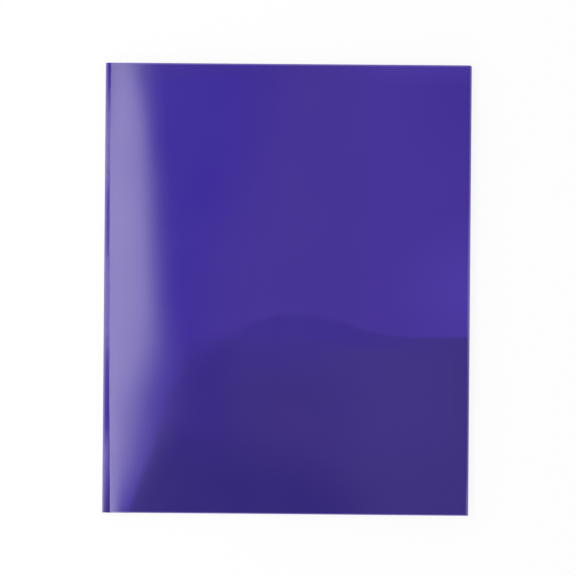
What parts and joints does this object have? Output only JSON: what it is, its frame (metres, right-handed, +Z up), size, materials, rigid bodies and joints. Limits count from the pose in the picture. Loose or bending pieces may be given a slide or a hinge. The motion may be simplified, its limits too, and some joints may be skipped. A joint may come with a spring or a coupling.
{
  "type": "two pocket folder",
  "caption": "Translucent plastic pocket folder, closed: front and back covers hinged on a scored spine, each with a folded and welded inside pocket for loose sheets.",
  "frame": {"origin": "middle of the closed folder's footprint, on the surface that its back cover lies on", "axes": "+X from the spine to the fore edge, +Y to the top edge, +Z up through the front cover"},
  "size_m": [0.2376, 0.292, 0.0078],
  "materials": {
    "cover_sheet": "glossy translucent purple polypropylene sheet",
    "scored_sheet": "thinned and slightly paler along the score",
    "pocket_sheet": "glossy translucent purple polypropylene sheet",
    "welded_sheet": "melted smooth by the weld"
  },
  "bodies": {
    "back_half": {"back_cover": "cover_sheet", "back_crease": "scored_sheet", "back_pocket": "pocket_sheet", "back_pocket_fold": "pocket_sheet", "back_pocket_tab": "pocket_sheet", "back_tab_fold": "pocket_sheet", "back_tab_welds": "welded_sheet"},
    "spine": {"spine": "cover_sheet"},
    "front_half": {"front_cover": "cover_sheet", "front_crease": "scored_sheet", "front_pocket": "pocket_sheet", "front_pocket_fold": "pocket_sheet", "front_pocket_tab": "pocket_sheet", "front_tab_fold": "pocket_sheet", "front_tab_welds": "welded_sheet"}
  },
  "joints": [
    {"name": "back_crease_hinge", "type": "hinge", "parent": "back_half", "child": "spine", "pos_m": [-0.11864, 0, 0.00022], "axis": [0, -1, 0], "range_deg": [0, 132], "deforming": ["back_crease"]},
    {"name": "front_crease_hinge", "type": "hinge", "parent": "spine", "child": "front_half", "pos_m": [-0.11462, 0, 0.00468], "axis": [0, -1, 0], "range_deg": [0, 42], "deforming": ["front_crease"]}
  ]
}
